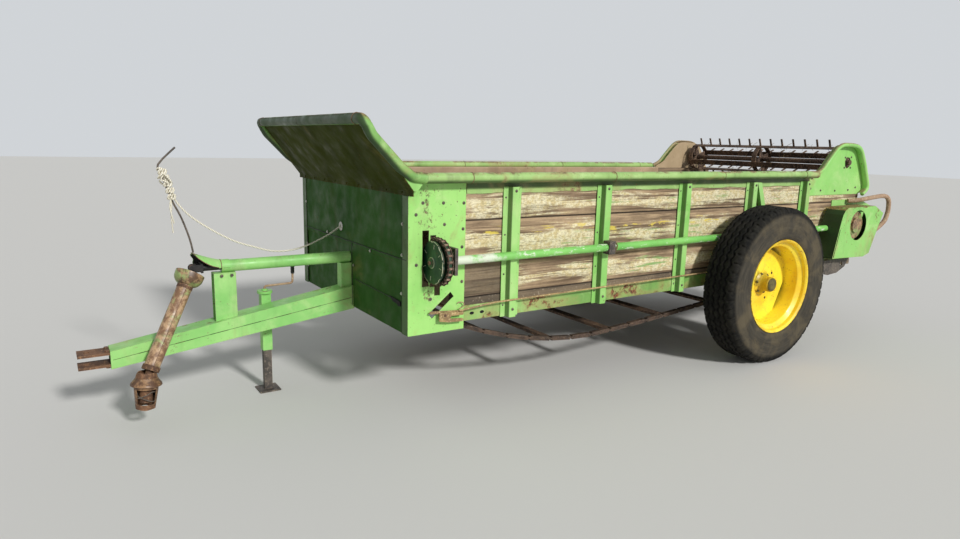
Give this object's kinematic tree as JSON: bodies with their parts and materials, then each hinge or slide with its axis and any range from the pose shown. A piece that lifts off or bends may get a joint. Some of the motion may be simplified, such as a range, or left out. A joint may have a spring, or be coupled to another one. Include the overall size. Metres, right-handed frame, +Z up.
{
  "type": "manure spreader",
  "caption": "Two-wheeled trailed manure spreader with a wooden load box, floor chains, toothed beaters, a rear distributor, a tongue with a jack and a hanging power shaft.",
  "frame": {"origin": "on the ground under the middle of the object's length and width", "axes": "+X forward to the hitch, +Y to the side with the chain case, +Z up"},
  "size_m": [5.5507, 2.068, 1.4612],
  "materials": {
    "green_paint": "faded, chalky green paint with rust spots",
    "dark_green_paint": "darker green paint",
    "yellow_paint": "glossy yellow wheel paint",
    "rusty_steel": "dark rusty steel",
    "worn_steel": "bare worn steel",
    "boards": "weathered boards with worn paint",
    "floor_wood": "stained floor boards",
    "tyre": "dusty worn tyre rubber",
    "shield_paint": "green paint worn to rust",
    "grip": "black grip",
    "rope": "weathered twisted rope"
  },
  "bodies": {
    "frame": {"tongue": "green_paint", "hitch_straps": "rusty_steel", "tube_supports": "green_paint", "guard_tube": "green_paint", "guard_hood": "green_paint", "shaft_joint": "rusty_steel", "jack_sleeve": "dark_green_paint", "jack_crank": "rusty_steel", "front_sheet": "green_paint", "flare": "green_paint", "side_chain": "rusty_steel", "front_side_left": "green_paint", "front_side_right": "green_paint", "inner_guard": "rusty_steel", "front_beam": "green_paint", "side_boards_left": "boards", "side_boards_right": "boards", "floor_boards": "floor_wood", "cross_members": "dark_green_paint", "sill_left": "green_paint", "sill_right": "green_paint", "posts_left": "green_paint", "posts_right": "green_paint", "rail_left": "green_paint", "rail_right": "green_paint", "ear_left": "green_paint", "ear_right": "green_paint", "rear_arms": "green_paint", "rear_guards": "rusty_steel", "axle": "dark_green_paint", "apron_chains": "rusty_steel", "apron_slats": "rusty_steel", "idler_shaft": "rusty_steel", "drive_shaft": "rusty_steel", "apron_plate": "worn_steel", "side_pipe": "green_paint", "side_sprocket": "dark_green_paint", "side_bracket": "rusty_steel", "chain_case": "green_paint", "case_disc": "worn_steel", "control_lever": "rusty_steel", "control_rod": "rusty_steel", "rope_rod": "worn_steel", "rope_eye": "worn_steel", "rope": "rope", "rope_tail": "rope"},
    "wheel_left": {"rim_left": "yellow_paint", "tyre_left": "tyre"},
    "wheel_right": {"rim_right": "yellow_paint", "tyre_right": "tyre"},
    "upper_beater": {"upper_beater": "rusty_steel"},
    "main_beater": {"main_beater": "rusty_steel"},
    "distributor": {"distributor": "rusty_steel"},
    "jack_leg": {"jack_leg": "worn_steel"},
    "hanging_shaft": {"shield": "shield_paint", "shaft_bells": "shield_paint", "shaft_yoke": "rusty_steel"}
  },
  "joints": [
    {"name": "wheel_left_turn", "type": "hinge", "parent": "frame", "child": "wheel_left", "pos_m": [-1.01, 0.92, 0.5], "axis": [0, 1, 0], "continuous": true},
    {"name": "wheel_right_turn", "type": "hinge", "parent": "frame", "child": "wheel_right", "pos_m": [-1.01, -0.92, 0.5], "axis": [0, 1, 0], "continuous": true},
    {"name": "upper_beater_turn", "type": "hinge", "parent": "frame", "child": "upper_beater", "pos_m": [-2.188, 0, 1.268], "axis": [0, 1, 0], "continuous": true},
    {"name": "main_beater_turn", "type": "hinge", "parent": "frame", "child": "main_beater", "pos_m": [-2.138, 0, 0.82], "axis": [0, 1, 0], "continuous": true},
    {"name": "distributor_turn", "type": "hinge", "parent": "frame", "child": "distributor", "pos_m": [-2.555, 0, 0.868], "axis": [0, 1, 0], "continuous": true},
    {"name": "jack_slide", "type": "slide", "parent": "frame", "child": "jack_leg", "axis": [0, 0, 1], "range_m": [0, 0.19]},
    {"name": "shaft_lift", "type": "hinge", "parent": "frame", "child": "hanging_shaft", "pos_m": [2.265, 0, 0.715], "axis": [0, -1, 0], "range_deg": [0, 65]}
  ]
}
